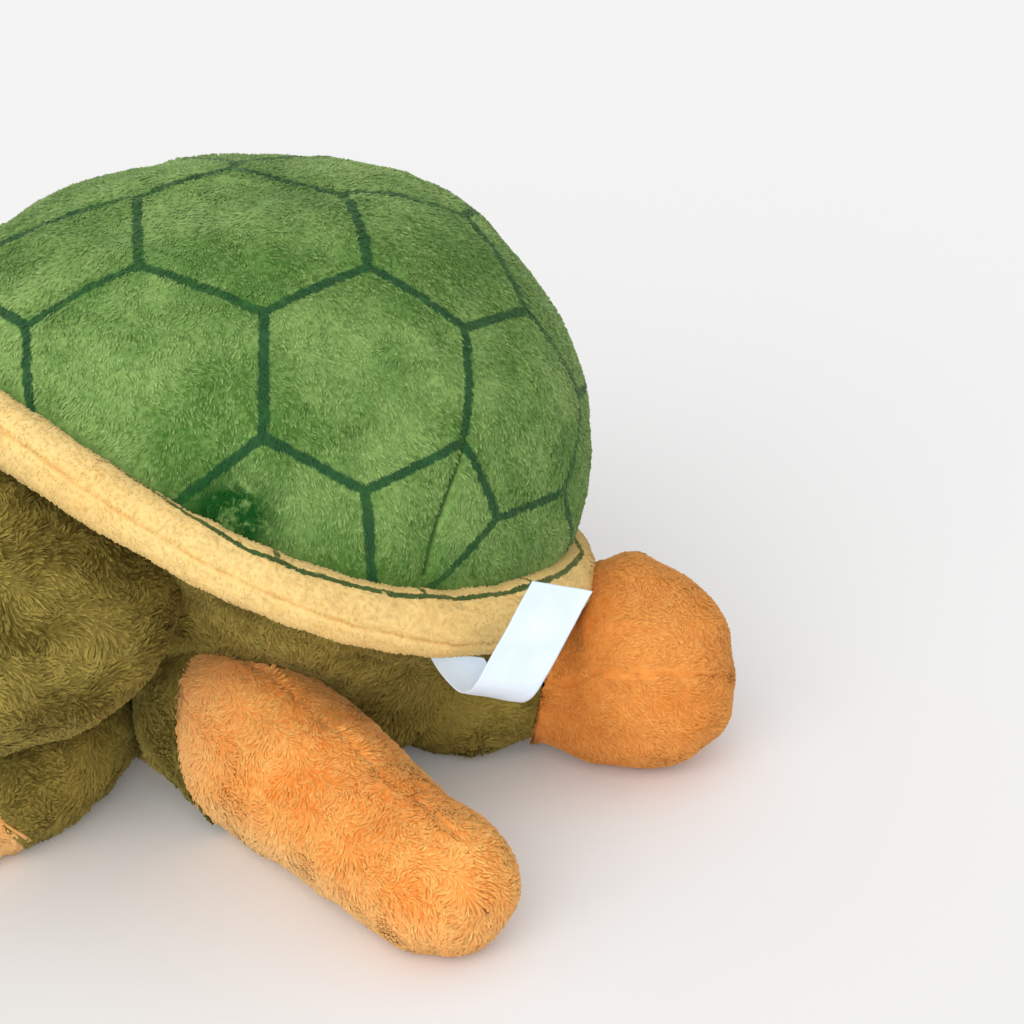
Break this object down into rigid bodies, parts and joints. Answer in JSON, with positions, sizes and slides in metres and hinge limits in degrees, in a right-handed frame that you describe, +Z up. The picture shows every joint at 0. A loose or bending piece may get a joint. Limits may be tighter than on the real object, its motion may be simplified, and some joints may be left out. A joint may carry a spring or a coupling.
{
  "type": "plush turtle",
  "caption": "Stuffed turtle lying on its belly: round hexagon-print plush shell with a wavy padded rim, olive head and limbs, orange flippers and feet, side label.",
  "frame": {"origin": "on the floor, in the middle of the flat belly panel", "axes": "+Z up, -Y towards the head, +X towards the turtle's left"},
  "size_m": [0.3318, 0.3145, 0.208],
  "materials": {
    "green_plush": "short brushed plush pile with a printed pattern of dark hexagon lines",
    "cream_plush": "short brushed plush pile, matte",
    "olive_plush": "long swirled plush pile, matte",
    "orange_plush": "long swirled plush pile, matte",
    "tan_plush": "short plush pile, matte",
    "white_filling": "loose polyester fibre",
    "black_plastic": "polished",
    "white_plastic": "as moulded",
    "dark_thread": "twisted embroidery thread",
    "white_satin": "woven satin ribbon with a soft sheen"
  },
  "bodies": {
    "root": {"shell_cover": "green_plush", "shell_stuffing": "white_filling", "rim_cover": "cream_plush", "rim_stuffing": "white_filling", "body_cover": "olive_plush", "body_stuffing": "white_filling", "belly_panel": "tan_plush"},
    "head": {"head_cover": "olive_plush", "head_stuffing": "white_filling", "eye_left": "black_plastic", "eye_right": "black_plastic", "eye_washer_left": "white_plastic", "eye_washer_right": "white_plastic", "mouth_thread": "dark_thread"},
    "arm_left": {"arm_left_sleeve": "olive_plush", "arm_left_flipper": "orange_plush", "arm_left_stuffing": "white_filling"},
    "arm_right": {"arm_right_sleeve": "olive_plush", "arm_right_flipper": "orange_plush", "arm_right_stuffing": "white_filling"},
    "leg_left": {"leg_left_sleeve": "olive_plush", "leg_left_foot": "orange_plush", "leg_left_stuffing": "white_filling"},
    "leg_right": {"leg_right_sleeve": "olive_plush", "leg_right_foot": "orange_plush", "leg_right_stuffing": "white_filling"},
    "tail": {"tail_cover": "olive_plush", "tail_stuffing": "white_filling"},
    "label": {"label": "white_satin"}
  },
  "joints": [
    {"name": "head_turn", "type": "hinge", "parent": "root", "child": "head", "pos_m": [0, -0.11, 0.091], "axis": [0, 0, 1], "range_deg": [-14, 14], "stiffness_Nm_per_rad": 0.3},
    {"name": "arm_left_swing", "type": "hinge", "parent": "root", "child": "arm_left", "pos_m": [0.03, -0.048, 0.0288], "axis": [0, 0, 1], "range_deg": [-10, 10], "stiffness_Nm_per_rad": 0.15},
    {"name": "arm_right_swing", "type": "hinge", "parent": "root", "child": "arm_right", "pos_m": [-0.03, -0.05, 0.0198], "axis": [0, 0, 1], "range_deg": [-10, 2], "stiffness_Nm_per_rad": 0.15},
    {"name": "leg_left_swing", "type": "hinge", "parent": "root", "child": "leg_left", "pos_m": [0.067, 0.04, 0.0263], "axis": [0, 0, 1], "range_deg": [-8, 8], "stiffness_Nm_per_rad": 0.2},
    {"name": "leg_right_swing", "type": "hinge", "parent": "root", "child": "leg_right", "pos_m": [-0.067, 0.04, 0.0263], "axis": [0, 0, 1], "range_deg": [-8, 8], "stiffness_Nm_per_rad": 0.2},
    {"name": "tail_wag", "type": "hinge", "parent": "root", "child": "tail", "pos_m": [0, 0.076, 0.025], "axis": [0, 0, 1], "range_deg": [-15, 15], "stiffness_Nm_per_rad": 0.02},
    {"name": "label_flap", "type": "hinge", "parent": "root", "child": "label", "pos_m": [0.1233, -0.01953, 0.07592], "axis": [0.6209, 0.7399, -0.2588], "range_deg": [-15, 15], "stiffness_Nm_per_rad": 0.006}
  ]
}
